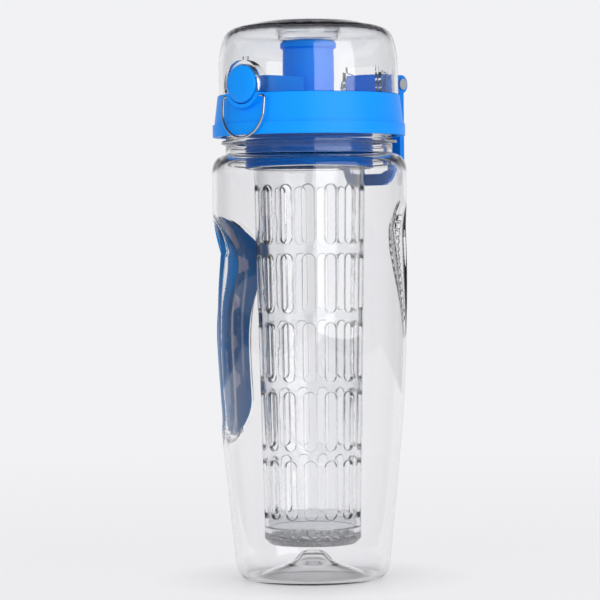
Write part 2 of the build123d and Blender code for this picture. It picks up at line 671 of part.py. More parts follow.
# ---- lock bail: bent wire that swings up over the arch ----
lean = radians(BAIL_LEAN)
bail_plane = Plane(
    origin=(0, BAIL_Y, BAIL_Z), x_dir=(1, 0, 0), z_dir=(0, -cos(lean), sin(lean))
)
with BuildPart() as bail:
    with BuildLine(bail_plane) as bail_path:
        bend = 1.4
        leg_low = -(BAIL_DROP - BAIL_LEG_X)
        FilletPolyline(
            (-BAIL_END_X, 0),
            (-BAIL_LEG_X, 0),
            (-BAIL_LEG_X, leg_low),
            radius=bend,
        )
        ThreePointArc((-BAIL_LEG_X, leg_low), (0, -BAIL_DROP), (BAIL_LEG_X, leg_low))
        FilletPolyline(
            (BAIL_LEG_X, leg_low),
            (BAIL_LEG_X, 0),
            (BAIL_END_X, 0),
            radius=bend,
        )
    with BuildSketch(Plane(origin=(-BAIL_END_X, BAIL_Y, BAIL_Z), z_dir=(-1, 0, 0))):
        Circle(BAIL_WIRE / 2)
    sweep(path=bail_path.line)
export(bail, "lock_bail")

# ---- carry loop: blue strap on the hinge pin ----
eye_in = BLOCK_HALF_W + 2 * RUN + LUG_W
leg_out = eye_in + LOOP_EYE_W
leg_in = leg_out - LOOP_BAND_W
with BuildPart() as loop:
    with BuildSketch(Plane.XZ.offset(-HINGE_Y - LOOP_THICK / 2)):
        low = HINGE_Z - LOOP_DROP
        with Locations((0, HINGE_Z)):
            Rectangle(2 * leg_out, LOOP_DROP, align=(Align.CENTER, Align.MAX))
        with Locations((0, HINGE_Z)):
            Rectangle(2 * eye_in, 8, align=(Align.CENTER, Align.MAX), mode=Mode.SUBTRACT)
            Rectangle(2 * leg_in, LOOP_DROP - LOOP_BAND_W, align=(Align.CENTER, Align.MAX), mode=Mode.SUBTRACT)
    extrude(amount=LOOP_THICK)
    outer = loop.edges().filter_by(Axis.Y).group_by(Axis.Z)[0]
    fillet(outer, 11.0)
    inner = loop.edges().filter_by(Axis.Y).filter_by(
        lambda e: abs(e.center().Z - (HINGE_Z - LOOP_DROP + LOOP_BAND_W)) < 0.1
    )
    fillet(inner, 6.0)
    with BuildSketch(Plane.YZ.offset(eye_in), Plane.YZ.offset(-eye_in - LOOP_EYE_W)):
        with Locations((HINGE_Y, HINGE_Z)):
            Circle(LOOP_EYE_R)
    extrude(amount=LOOP_EYE_W)
    with BuildSketch(Plane.YZ):
        with Locations((HINGE_Y, HINGE_Z)):
            Circle(PIN_R + FIT)
    extrude(amount=leg_out + 1, both=True, mode=Mode.SUBTRACT)
export(loop, "carry_loop")
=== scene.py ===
import math

import bmesh
import bpy
import numpy as np
from mathutils import Matrix, Vector


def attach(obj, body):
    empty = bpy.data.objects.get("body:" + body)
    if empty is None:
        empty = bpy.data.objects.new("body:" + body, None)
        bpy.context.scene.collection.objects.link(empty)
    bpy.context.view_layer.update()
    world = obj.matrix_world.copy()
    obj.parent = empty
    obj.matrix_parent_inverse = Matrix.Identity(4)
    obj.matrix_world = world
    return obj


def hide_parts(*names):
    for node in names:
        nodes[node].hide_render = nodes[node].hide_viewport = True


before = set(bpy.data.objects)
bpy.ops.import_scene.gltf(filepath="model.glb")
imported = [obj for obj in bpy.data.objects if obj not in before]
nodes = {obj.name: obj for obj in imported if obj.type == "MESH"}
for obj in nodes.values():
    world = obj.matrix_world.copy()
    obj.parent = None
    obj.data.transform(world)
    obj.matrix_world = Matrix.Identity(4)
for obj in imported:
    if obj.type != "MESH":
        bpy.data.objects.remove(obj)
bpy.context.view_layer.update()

# Clear bottle: blow-moulded hard plastic with a screw neck, a pushed-up base, a scoop for the soft
# grip on one side and a ribbed thumb hollow opposite. It is drawn again here because light bends
# through it, and that shows every flat of a coarse mesh.
WALL = 0.0017
OUTLINE_Z = np.array([10.0, 36.0, 83.0, 120.0, 168.0, 187.7]) / 1000
OUTLINE_R = np.array([35.8, 38.4, 42.7, 44.2, 44.6, 44.6]) / 1000
CORNER_Z, SHOULDER_Z, SHOULDER_TOP_Z = 0.010, 0.1877, 0.195
CHEST_R, CONTACT_R, NECK_R = 0.0446, 0.030, 0.0383
INSIDE_DROP = 0.0008  # the shoulder's inside starts this much lower than its outside
GRIP_TURN, THUMB_TURN = math.radians(209.5), math.radians(29.5)
GRIP_TOP, GRIP_WIDE_Z, GRIP_LOW_Z, GRIP_BOTTOM = 0.167, 0.150, 0.082, 0.0655
GRIP_HALF_W = np.array([(18.7, 82.0), (19.6, 116.0), (25.6, 150.0)]) / 1000  # half widths at heights
# radius of the scoop's floor at heights
GRIP_FLOOR = np.array([(38.0, 64), (39.1, 96), (38.8, 128), (37.4, 146), (41.4, 158), (45.6, 168.5)]) / 1000
THUMB_TOP, THUMB_WIDE_Z, THUMB_BOTTOM, THUMB_HALF_W = 0.175, 0.160, 0.104, 0.0145
THUMB_FLOOR = np.array([(44.2, 100), (42.7, 132), (41.4, 160), (46.0, 177)]) / 1000
GRIP_EDGE, THUMB_EDGE = 0.0011, 0.0030  # width over which each hollow's rim rolls in
RIB_TOP_Z, RIB_PITCH, RIB_COUNT = 0.165, 0.0035, 14
RIB_PROUD, RIB_SHARE, RIB_RUN_OUT = 0.0004, 0.6, 0.0030
THREAD_LOW_Z, THREAD_TOP_Z, THREAD_PITCH = 0.2045, 0.2120, 0.004
THREAD_PROUD, THREAD_RUN_OUT = 0.0012, 0.001


def through(x_known, y_known, x):
    """Smooth curve through known points: a natural cubic spline, straight on beyond its ends."""
    x_known, y_known = np.asarray(x_known, float), np.asarray(y_known, float)
    h = np.diff(x_known)
    slope = np.diff(y_known) / h
    n = len(x_known)
    left = np.eye(n)
    right = np.zeros(n)
    for i in range(1, n - 1):
        left[i, i - 1 : i + 2] = h[i - 1], 2 * (h[i - 1] + h[i]), h[i]
        right[i] = 6 * (slope[i] - slope[i - 1])
    bend = np.linalg.solve(left, right)
    i = np.clip(np.searchsorted(x_known, x) - 1, 0, n - 2)
    a, b = x_known[i + 1] - x, x - x_known[i]
    hi = h[i]
    curve = bend[i] * a**3 / (6 * hi) + bend[i + 1] * b**3 / (6 * hi)
    curve += (y_known[i] / hi - bend[i] * hi / 6) * a + (y_known[i + 1] / hi - bend[i + 1] * hi / 6) * b
    return curve


def ease(x):
    """0 below 0, 1 above 1, and an S-curve, 3x^2 - 2x^3, between."""
    x = np.clip(x, 0, 1)
    return x * x * (3 - 2 * x)


def grip_half_width(z):
    """Half width of the grip at a height, without its rounded ends: a curve through three widths."""
    z = np.clip(z, GRIP_LOW_Z, GRIP_WIDE_Z)
    return through(GRIP_HALF_W[:, 1], GRIP_HALF_W[:, 0], z)


def grip_inside(across, z):
    """How far inside the grip's outline a point is, in metres: curved sides with half-ellipse ends."""
    half_w = grip_half_width(z)
    end = np.where(z > 0.5 * (GRIP_TOP + GRIP_BOTTOM), GRIP_TOP - GRIP_WIDE_Z, GRIP_LOW_Z - GRIP_BOTTOM)
    rise = np.maximum(np.maximum(GRIP_LOW_Z - z, z - GRIP_WIDE_Z), 0) / end
    size = np.hypot(across / half_w, rise)
    return (1 - size) * np.where(rise > 0, 0.5 * (half_w + end), half_w)


def thumb_half_width(z):
    """Half width of the thumb hollow at a height: a drop, round above and drawn to a point below."""
    up = np.clip((THUMB_TOP - z) / (THUMB_TOP - THUMB_WIDE_Z), 0, 1)
    down = np.clip((z - THUMB_BOTTOM) / (THUMB_WIDE_Z - THUMB_BOTTOM), 0, 1)
    round_top = np.sqrt(np.clip(1 - (1 - up) ** 2, 0, 1))
    tail = down ** 0.9
    return THUMB_HALF_W * np.where(z > THUMB_WIDE_Z, round_top, tail)


def thumb_inside(across, z):
    """How far inside the thumb hollow's outline a point is, in metres."""
    return thumb_half_width(z) - np.abs(across)


def scooped(radius, turn, z, inset):
    """Radius once both hollows are pressed in: inside each outline it eases down to the hollow's floor."""
    for centre, inside, floor, edge, widen in (
        (GRIP_TURN, grip_inside, GRIP_FLOOR, GRIP_EDGE, inset),
        (THUMB_TURN, thumb_inside, THUMB_FLOOR, THUMB_EDGE, 0.0),
    ):
        away = (turn - centre + np.pi) % (2 * np.pi) - np.pi
        across = radius * np.sin(away)
        depth_in = np.where(np.abs(away) < np.pi / 2, inside(across, z) + widen, -1.0)
        floor_r = through(floor[:, 1], floor[:, 0], z) - inset
        share = ease(depth_in / edge + (0.0 if centre == THUMB_TURN else 1.0))
        radius = radius - np.maximum(radius - floor_r, 0) * share
    return radius


def thumb_ribs(radius, turn, z):
    """Adds level bars along the middle of the thumb hollow: a raised cosine of height."""
    away = (turn - THUMB_TURN + np.pi) % (2 * np.pi) - np.pi
    room = RIB_SHARE * thumb_half_width(z) - np.abs(radius * np.sin(away))
    room = np.where(np.abs(away) < np.pi / 2, room, -1.0)
    phase = (RIB_TOP_Z - z) / RIB_PITCH
    bar = ease(1.9 * (0.5 + 0.5 * np.cos(2 * np.pi * phase)) - 0.45)
    rows = (phase > -0.5) & (phase < RIB_COUNT - 0.5)
    return radius + RIB_PROUD * bar * rows * ease(room / RIB_RUN_OUT)


def neck_thread(radius, turn, z):
    """Adds the right-handed thread: a raised cosine that climbs one pitch a turn and fades at its ends."""
    phase = z / THREAD_PITCH - turn / (2 * np.pi)
    ridge = ease(1.6 * (0.5 + 0.5 * np.cos(2 * np.pi * phase)) - 0.5)
    fade = ease((z - THREAD_LOW_Z) / THREAD_RUN_OUT) * ease((THREAD_TOP_Z - z) / THREAD_RUN_OUT)
    return radius + THREAD_PROUD * ridge * fade


def lathe_mesh(name, points, closed_along):
    """Mesh of a grid of points (along, round, xyz): quads between neighbours, joined right round."""
    along, around = points.shape[:2]
    rows = np.arange(along if closed_along else along - 1)
    columns = np.arange(around)
    a = (rows[:, None] * around + columns[None]).ravel()
    b = (rows[:, None] * around + (columns[None] + 1) % around).ravel()
    c = ((rows[:, None] + 1) % along * around + (columns[None] + 1) % around).ravel()
    d = ((rows[:, None] + 1) % along * around + columns[None]).ravel()
    mesh = bpy.data.meshes.new(name)
    mesh.from_pydata(points.reshape(-1, 3).tolist(), [], np.stack([a, b, c, d], 1).tolist())
    mesh.polygons.foreach_set("use_smooth", np.ones(len(mesh.polygons), bool))
    mesh.update()
    piece = bpy.data.objects.new(name, mesh)
    bpy.context.scene.collection.objects.link(piece)
    return piece


def spaced_turns():
    """Directions round the bottle, in steps that are finer at the grip's sides and over the thumb hollow."""
    pieces = (
        (-24.0, 24.0, 0.62, THUMB_TURN),
        (24.0, 138.0, 2.1, THUMB_TURN),
        (-42.0, -27.0, 0.5, GRIP_TURN),
        (-27.0, 27.0, 1.6, GRIP_TURN),
        (27.0, 42.0, 0.5, GRIP_TURN),
        (222.0, 336.0, 2.1, THUMB_TURN),
    )
    steps = []
    for low, high, step, centre in pieces:
        steps.append(np.arange(low, high - step / 2, step) + math.degrees(centre))
    return np.radians(np.sort(np.concatenate(steps) % 360))


turns = spaced_turns()
# rows up the outside, closer together over the grip's ends and the thumb ribs
side_z = np.concatenate(
    [
        np.linspace(CORNER_Z, 0.060, 25),
        np.linspace(0.0608, 0.0840, 30),
        np.linspace(0.0855, 0.100, 9),
        np.linspace(0.1012, 0.1165, 14),
        np.linspace(0.1170, 0.1670, 100),
        np.linspace(0.1677, 0.1877, 24),
    ]
)
arc = np.linspace(0, np.pi / 2, 14)[1:]
shoulder_r = NECK_R + (CHEST_R - NECK_R) * np.cos(arc)
shoulder_z = SHOULDER_Z + (SHOULDER_TOP_Z - SHOULDER_Z) * np.sin(arc)
corner = np.linspace(0, 1, 12)[:-1]
corner_r = CONTACT_R + (OUTLINE_R[0] - CONTACT_R) * np.sin(corner * np.pi / 2)
corner_z = CORNER_Z * (1 - np.cos(corner * np.pi / 2))
# ring under the lid, thread and lip: out from the neck's wall and up, in millimetres
bead = np.array([(0.0, 195.3), (0.0, 198.7), (0.2, 199.2), (1.6, 199.45), (2.0, 199.7), (2.0, 200.9)]) / 1000
bead_top = np.array([(1.6, 201.15), (0.2, 201.4), (0.0, 201.9), (0.0, 203.5)]) / 1000
thread_z = np.linspace(0.2042, 0.2124, 24)
thread_rows = np.stack([0 * thread_z, thread_z], 1)
lip = np.array([(0.0, 212.9), (-0.15, 213.5), (-0.45, 213.9), (-0.8, 214.0)]) / 1000
neck = np.concatenate([bead, bead_top, thread_rows, lip]) + np.array([NECK_R, 0])
# pushed-up base from its middle to the ring the bottle stands on
punt = np.array(
    [(0.0, 11.2), (2.0, 11.2), (3.6, 11.1), (4.6, 10.6), (5.6, 9.4), (7.0, 7.6), (8.5, 6.4), (10.5, 5.6)]
    + [(14.0, 4.5), (18.0, 3.1), (22.0, 1.6), (25.0, 0.5), (26.5, 0.05), (28.2, 0.0)]
) / 1000
side_r = through(OUTLINE_Z, OUTLINE_R, side_z)
outer_r = np.concatenate([punt[:, 0], corner_r, side_r, shoulder_r, neck[:, 0]])
outer_z = np.concatenate([punt[:, 1], corner_z, side_z, shoulder_z, neck[:, 1]])
inner_side_z = np.concatenate([np.linspace(0.186, 0.100, 62), np.linspace(0.098, 0.0115, 40)])
inner_arc = np.linspace(np.pi / 2, 0, 10)
inner_corner = np.linspace(0, np.pi / 2, 13)
inner_r = np.concatenate(
    [
        np.array([0.0371, 0.0368, 0.0366, 0.0366]),
        NECK_R - WALL + (CHEST_R - NECK_R) * np.cos(inner_arc),
        through(OUTLINE_Z, OUTLINE_R, inner_side_z) - WALL,
        CONTACT_R + (OUTLINE_R[0] - CONTACT_R - WALL) * np.cos(inner_corner),
        np.array([28.0, 26.0, 24.0, 22.0, 18.0, 14.0, 11.0, 9.2, 7.6, 6.2, 5.0, 3.6, 1.8, 0.0]) / 1000,
    ]
)
inner_z = np.concatenate(
    [
        np.array([0.2140, 0.2137, 0.2130, 0.1950]),
        SHOULDER_Z - INSIDE_DROP + (SHOULDER_TOP_Z - SHOULDER_Z - WALL + INSIDE_DROP) * np.sin(inner_arc),
        inner_side_z,
        CORNER_Z - (CORNER_Z - WALL) * np.sin(inner_corner),
        np.array([1.7, 1.85, 2.35, 3.1, 4.7, 6.2, 7.3, 8.3, 9.8, 11.5, 12.5, 12.9, 13.0, 13.0]) / 1000,
    ]
)
turn_grid = turns[None, :]
outside = scooped(outer_r[:, None] + 0 * turn_grid, turn_grid, outer_z[:, None], 0.0)
outside = thumb_ribs(outside, turn_grid, outer_z[:, None])
outside = neck_thread(outside, turn_grid, outer_z[:, None])
inside = scooped(inner_r[:, None] + 0 * turn_grid, turn_grid, inner_z[:, None], WALL)
radius = np.concatenate([outside, inside])
height = np.concatenate([outer_z, inner_z])[:, None] + 0 * turn_grid
points = np.stack([radius * np.cos(turn_grid), radius * np.sin(turn_grid), height], 2)
bottle = lathe_mesh("bottle_shell", points, False)


def weld(piece, reach=1e-6):
    """Merges points that share a place, such as a pole's, and turns every face outwards."""
    work = bmesh.new()
    work.from_mesh(piece.data)
    bmesh.ops.remove_doubles(work, verts=work.verts, dist=reach)
    bmesh.ops.recalc_face_normals(work, faces=work.faces)
    work.to_mesh(piece.data)
    work.free()


weld(bottle)


def clear_plastic(name, tint, index, roughness=0.0):
    """Hard clear plastic: light passes and bends by the index, and long paths through it grow grey."""
    material = bpy.data.materials.new(name)
    material.use_nodes = True
    shader = material.node_tree.nodes["Principled BSDF"]
    shader.inputs["Base Color"].default_value = (*tint, 1)
    shader.inputs["Roughness"].default_value = roughness
    shader.inputs["IOR"].default_value = index
    shader.inputs["Transmission Weight"].default_value = 1.0
    return material


bottle_plastic = clear_plastic("bottle_plastic", (0.985, 0.985, 0.99), 1.45)
bottle.data.materials.append(bottle_plastic)
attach(bottle, "bottle")
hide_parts("bottle_body")


# Grip pad: soft blue silicone, a long rounded tongue pressed into the bottle's scoop. It wets the clear
# wall in most places; where air is left between the two, and along a thin streak, its colour is painted
# pale as a reflection seen from inside the bottle.
UNEVEN, GRAIN_HIGH, SHEEN = 0.04, 0.0001, 0.22


def moulded_finish(name, colour, roughness, grain, depth):
    """Moulded skin: a plain colour with a very fine uneven face, from noise on the piece's own place."""
    material = bpy.data.materials.new(name)
    material.use_nodes = True
    tree = material.node_tree
    shader = tree.nodes["Principled BSDF"]
    place = tree.nodes.new("ShaderNodeTexCoord")
    noise = tree.nodes.new("ShaderNodeTexNoise")
    noise.inputs["Scale"].default_value = grain
    noise.inputs["Detail"].default_value = 2.0
    tree.links.new(place.outputs["Object"], noise.inputs["Vector"])
    ramp = tree.nodes.new("ShaderNodeMapRange")
    ramp.inputs["To Min"].default_value = roughness - UNEVEN
    ramp.inputs["To Max"].default_value = roughness + UNEVEN
    tree.links.new(noise.outputs["Fac"], ramp.inputs["Value"])
    tree.links.new(ramp.outputs["Result"], shader.inputs["Roughness"])
    bump = tree.nodes.new("ShaderNodeBump")
    bump.inputs["Strength"].default_value = depth
    bump.inputs["Distance"].default_value = GRAIN_HIGH
    tree.links.new(noise.outputs["Fac"], bump.inputs["Height"])
    tree.links.new(bump.outputs["Normal"], shader.inputs["Normal"])
    shader.inputs["Base Color"].default_value = (*colour, 1)
    shader.inputs["Specular IOR Level"].default_value = SHEEN
    return material


# radius of the pad's outer face at heights
PAD_FACE = np.array([(40.4, 64), (42.6, 98), (42.2, 128), (40.3, 145), (42.9, 157), (44.6, 169)]) / 1000
PAD_INSET = 0.0003  # the pad is this much smaller than its scoop all round
PAD_EDGE_W, PAD_EDGE_DROP, PAD_LEAST = 0.0014, 0.0011, 0.0002  # rounded border, and least thickness
TOUCH, AIR = -0.00005, 0.0002  # where it wets the wall it sits a hair inside it, elsewhere air is left
# air left between pad and wall: height, half height and how far it reaches across, in millimetres
AIR_SPOTS = ((157.0, 9.0, 8.0), (144.5, 5.0, 11.0), (127.0, 4.5, 6.5), (108.5, 4.5, 5.0), (91.0, 5.0, 6.0))
AIR_EDGE, AIR_BAND, AIR_LOW_Z = -0.0040, 0.0030, 0.068
STREAK_AT, STREAK_SWAY, STREAK_HALF_W = -0.0128, 0.0012, 0.0013
STREAK_LOW_Z, STREAK_TOP_Z, STREAK_RUN_OUT = 0.088, 0.152, 0.01
# the pad's blue, and the pale painted in as a reflection where air is left behind the pad
PAD_BLUE, PAD_PAINTED_REFLECTION = (0.0, 0.22, 0.66), (0.50, 0.58, 0.92)


def air_gap(across, z):
    """1 where air is left behind the pad and 0 where it touches: a scalloped edge and a thin streak; it also
    weighs the painted pale reflection in the pad's colour.
    """
    edge = AIR_EDGE
    for height, half_high, reach in AIR_SPOTS:
        edge = edge - 0.001 * reach * ease(1.6 * (1 - np.abs(z * 1000 - height) / half_high))
    scallops = ease((across - edge) / 0.0006 + 0.5) * ease((AIR_EDGE + AIR_BAND - across) / 0.001)
    streak_at = STREAK_AT - STREAK_SWAY * np.cos((z - 0.115) / 0.020)
    streak = ease(1.7 * (1 - np.abs(across - streak_at) / STREAK_HALF_W))
    streak = streak * ease((z - STREAK_LOW_Z) / STREAK_RUN_OUT) * ease((STREAK_TOP_Z - z) / STREAK_RUN_OUT)
    return np.maximum(scallops * ease((z - AIR_LOW_Z) / 0.004), 0.8 * streak)


def pad_surface(rows, columns):
    """Closed rings up the pad: its inner face lies on the scoop's floor, its outer face is a soft curve."""
    low, high = GRIP_BOTTOM + PAD_INSET, GRIP_TOP - PAD_INSET
    z = low + (high - low) * (0.5 - 0.5 * np.cos(np.linspace(0, np.pi, rows)))
    end = np.where(z > 0.5 * (low + high), high - GRIP_WIDE_Z, GRIP_LOW_Z - low)
    rise = np.maximum(np.maximum(GRIP_LOW_Z - z, z - GRIP_WIDE_Z), 0) / end
    half_w = (grip_half_width(z) - PAD_INSET) * np.sqrt(np.clip(1 - rise**2, 0, 1))
    share = np.sin(np.linspace(-np.pi / 2, np.pi / 2, columns))
    across = half_w[:, None] * share[None, :]
    z_grid = z[:, None] + 0 * across
    air = air_gap(across, z_grid)
    floor_r = through(GRIP_FLOOR[:, 1], GRIP_FLOOR[:, 0], z)[:, None]
    inner_r = floor_r + TOUCH + (AIR - TOUCH) * air
    border = np.clip(1 - (half_w[:, None] - np.abs(across)) / PAD_EDGE_W, 0, 1)
    outer_r = through(PAD_FACE[:, 1], PAD_FACE[:, 0], z)[:, None]
    outer_r = outer_r - PAD_EDGE_DROP * (1 - np.sqrt(1 - border**2))
    outer_r = np.maximum(outer_r, inner_r + PAD_LEAST)
    faces = []
    for radius, spots in ((inner_r, across), (outer_r[:, ::-1], across[:, ::-1])):
        turn = GRIP_TURN + np.arcsin(np.clip(spots / radius, -1, 1))
        faces.append(np.stack([radius * np.cos(turn), radius * np.sin(turn), z_grid], 2))
    air_reflection = np.concatenate([air, 0 * air], 1)
    return np.concatenate(faces, 1), air_reflection


pad_points, pad_air_reflection = pad_surface(170, 70)
pad = lathe_mesh("soft_grip", pad_points, False)
air_reflection_layer = pad.data.attributes.new("air_reflection", "FLOAT", "POINT")
air_reflection_layer.data.foreach_set("value", pad_air_reflection.ravel().astype(np.float32))
weld(pad)
pad_silicone = moulded_finish("pad_silicone", PAD_BLUE, 0.5, 900, 0.15)
pad_tree = pad_silicone.node_tree
pad_shader = pad_tree.nodes["Principled BSDF"]
pad_shader.inputs["Specular IOR Level"].default_value = 0.0
# painted reflection: the pad's colour turns pale where air is left behind it and along the streak
air_reflection_value = pad_tree.nodes.new("ShaderNodeAttribute")
air_reflection_value.attribute_name = "air_reflection"
air_reflection_mix = pad_tree.nodes.new("ShaderNodeMix")
air_reflection_mix.data_type = "RGBA"
air_reflection_mix.inputs["A"].default_value = (*PAD_BLUE, 1)
air_reflection_mix.inputs["B"].default_value = (*PAD_PAINTED_REFLECTION, 1)
pad_tree.links.new(air_reflection_value.outputs["Fac"], air_reflection_mix.inputs["Factor"])
pad_tree.links.new(air_reflection_mix.outputs["Result"], pad_shader.inputs["Base Color"])
pad.data.materials.append(pad_silicone)
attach(pad, "bottle")
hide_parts("grip_pad")


# Lid and latch button: bright blue hard plastic, moulded with a satin skin. The lid screws on to the neck
# and carries the button's housing, the bail's ears and the hinge block; the button slides in its bore.
def paint(node, material):
    """Gives a CAD piece its finish."""
    piece = nodes[node]
    piece.data.materials.clear()
    piece.data.materials.append(material)


BLUE_GRAIN, BLUE_DEPTH, BLUE_ROUGH = 700, 0.06, 0.42
lid_blue = moulded_finish("lid_blue", (0.0, 0.29, 0.95), BLUE_ROUGH, BLUE_GRAIN, BLUE_DEPTH)
for part in ("lid_base", "latch_button"):
    paint(part, lid_blue)

# Carry loop: the same plastic, a flat ring that hangs from the hinge pin behind the lid and swings up
# over the dome to be carried by. Its deeper blue is painted shade, for the lesser light behind the glass.
loop_shaded_blue = moulded_finish("loop_shaded_blue", (0.0, 0.20, 0.76), BLUE_ROUGH, BLUE_GRAIN, BLUE_DEPTH)
paint("carry_loop", loop_shaded_blue)

# Infuser collar: a ring of the blue hard plastic with fine grip ridges, painted a deeper blue as shade for
# its place under the lid inside the neck. It holds the basket's top and twists into the underside of the lid.
COLLAR_R, COLLAR_IN_R, COLLAR_LOW_Z, COLLAR_TOP_Z = 0.0289, 0.0265, 0.1904, 0.2124
RIDGES, RIDGE_STEP, RIDGE_PROUD, FIRST_RIDGE = 5, 0.0025, 0.0007, 0.0006


def collar_surface(around):
    """Ring swept about the axis: a tube's section whose outside carries rounded ridges, evenly spaced."""
    z = np.linspace(COLLAR_LOW_Z, COLLAR_TOP_Z, 120)
    phase = (z - COLLAR_LOW_Z - FIRST_RIDGE) / RIDGE_STEP
    on = (phase > -0.5) & (phase < RIDGES - 0.5)
    outside = COLLAR_R + RIDGE_PROUD * on * ease(2.2 * (0.5 + 0.5 * np.cos(2 * np.pi * phase)) - 0.5)
    section_r = np.concatenate([outside, [COLLAR_IN_R, COLLAR_IN_R]])
    section_z = np.concatenate([z, [COLLAR_TOP_Z, COLLAR_LOW_Z]])
    turn = np.linspace(0, 2 * np.pi, around, endpoint=False)[None, :]
    r_grid, z_grid = section_r[:, None] + 0 * turn, section_z[:, None] + 0 * turn
    return np.stack([r_grid * np.cos(turn), r_grid * np.sin(turn), z_grid], 2)


collar = lathe_mesh("ridged_collar", collar_surface(160), True)
weld(collar)
collar_shaded_blue = moulded_finish("collar_shaded_blue", (0.0, 0.15, 0.60), BLUE_ROUGH, BLUE_GRAIN, BLUE_DEPTH)
collar.data.materials.append(collar_shaded_blue)
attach(collar, "infuser")
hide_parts("infuser_collar")

# Spout: a short tube in a slightly shinier blue plastic, with a thicker lip to drink from. It is pushed
# into the socket in the middle of the lid.
spout_blue = moulded_finish("spout_blue", (0.0, 0.27, 1.0), 0.38, BLUE_GRAIN, BLUE_DEPTH)
paint("spout", spout_blue)

# Dome cap: hard clear plastic hood over the spout. Two lugs hang it on the hinge pin, and an arch in its
# front edge closes round the latch button.
HARD_TINT, HARD_INDEX = (0.96, 0.965, 0.97), 1.48
dome_plastic = clear_plastic("dome_plastic", HARD_TINT, HARD_INDEX)
paint("dome_cap", dome_plastic)

# Infuser basket: a tube of the same clear plastic with rows of long slots, snapped into the collar. Its
# moulded slots have rounded rims, which the light shows as grey lines.
SLOT_RIM = 0.0011
basket_plastic = clear_plastic("basket_plastic", HARD_TINT, HARD_INDEX)
rounded_rim = basket_plastic.node_tree.nodes.new("ShaderNodeBevel")
rounded_rim.samples = 6
rounded_rim.inputs["Radius"].default_value = SLOT_RIM
basket_shader = basket_plastic.node_tree.nodes["Principled BSDF"]
basket_plastic.node_tree.links.new(rounded_rim.outputs["Normal"], basket_shader.inputs["Normal"])
paint("infuser_basket", basket_plastic)

# Strainer cap: a shallow cup of slightly darker clear plastic pushed over the basket's lower end, its
# floor and foot pierced so finely that they sparkle.
CAP_TINT, PITS_BELOW_Z, PITS_RUN_OUT, PIT_DEPTH = (0.84, 0.845, 0.86), 0.0205, 0.001, 0.0014


def pierced_plastic(name):
    """Clear plastic with close round pits, from the cells nearest each place, below the cap's plain wall."""
    material = clear_plastic(name, CAP_TINT, HARD_INDEX)
    tree = material.node_tree
    place = tree.nodes.new("ShaderNodeTexCoord")
    cells = tree.nodes.new("ShaderNodeTexVoronoi")
    cells.inputs["Scale"].default_value = 650
    tree.links.new(place.outputs["Object"], cells.inputs["Vector"])
    split = tree.nodes.new("ShaderNodeSeparateXYZ")
    tree.links.new(place.outputs["Object"], split.inputs[0])
    low = tree.nodes.new("ShaderNodeMapRange")
    low.inputs["From Min"].default_value = PITS_BELOW_Z + PITS_RUN_OUT
    low.inputs["From Max"].default_value = PITS_BELOW_Z
    tree.links.new(split.outputs["Z"], low.inputs["Value"])
    bump = tree.nodes.new("ShaderNodeBump")
    bump.inputs["Distance"].default_value = PIT_DEPTH
    tree.links.new(low.outputs["Result"], bump.inputs["Strength"])
    tree.links.new(cells.outputs["Distance"], bump.inputs["Height"])
    tree.links.new(bump.outputs["Normal"], tree.nodes["Principled BSDF"].inputs["Normal"])
    return material


paint("infuser_base", pierced_plastic("pierced_plastic"))

# Seals: a milky clear silicone plug held in the dome's ceiling, which stops the spout, and a flat grey
# silicone ring pressed between the lid and the bottle's mouth.
plug_clear = clear_plastic("plug_clear", (0.95, 0.955, 0.97), 1.2, 0.12)
paint("spout_seal", plug_clear)
ring_grey = moulded_finish("ring_grey", (0.55, 0.57, 0.60), 0.5, 600, 0.1)
paint("lid_seal", ring_grey)


# Pin, springs and lock bail: bright drawn steel wire. The pin runs through the hinge block, one spring
# is wound on it, the other pushes the button out, and the bail's ends sit in holes beside the button.
def steel_finish(name):
    """Bright steel, a little duller in fine spots, from noise on the piece's own place."""
    material = bpy.data.materials.new(name)
    material.use_nodes = True
    tree = material.node_tree
    shader = tree.nodes["Principled BSDF"]
    shader.inputs["Base Color"].default_value = (0.55, 0.56, 0.58, 1)
    shader.inputs["Metallic"].default_value = 1.0
    place = tree.nodes.new("ShaderNodeTexCoord")
    noise = tree.nodes.new("ShaderNodeTexNoise")
    noise.inputs["Scale"].default_value = 1200
    tree.links.new(place.outputs["Object"], noise.inputs["Vector"])
    ramp = tree.nodes.new("ShaderNodeMapRange")
    ramp.inputs["To Min"].default_value = 0.14
    ramp.inputs["To Max"].default_value = 0.24
    tree.links.new(noise.outputs["Fac"], ramp.inputs["Value"])
    tree.links.new(ramp.outputs["Result"], shader.inputs["Roughness"])
    return material


wire_steel = steel_finish("wire_steel")
for part in ("hinge_pin", "hinge_spring", "button_spring", "lock_bail"):
    paint(part, wire_steel)

# Studio floor: pale paper. Its own shading fades into the flat backdrop colour with distance, and is
# strongest under the bottle. None of the studio is part of the object.
PALE = (0.885, 0.885, 0.903, 1)
FLOOR_HALF = 1.0
NEAR, FAR, NEAR_SHARE = 0.16, 0.75, 0.8  # the flat colour's share grows from near to far
UNDER_NEAR, UNDER_FAR, UNDER_SHARE = 0.026, 0.075, 0.4  # and again from under the bottle outwards
floor_mesh = bpy.data.meshes.new("floor")
floor_spots = [(FLOOR_HALF * x, FLOOR_HALF * y, 0) for x, y in ((-1, -1), (1, -1), (1, 1), (-1, 1))]
floor_mesh.from_pydata(floor_spots, [], [(0, 1, 2, 3)])
floor = bpy.data.objects.new("floor", floor_mesh)
bpy.context.scene.collection.objects.link(floor)
floor_paint = bpy.data.materials.new("floor_paint")
floor_paint.use_nodes = True
paper = floor_paint.node_tree
paper_shader = paper.nodes["Principled BSDF"]
paper_shader.inputs["Base Color"].default_value = PALE
paper_shader.inputs["Roughness"].default_value = 0.25
floor_place = paper.nodes.new("ShaderNodeTexCoord")
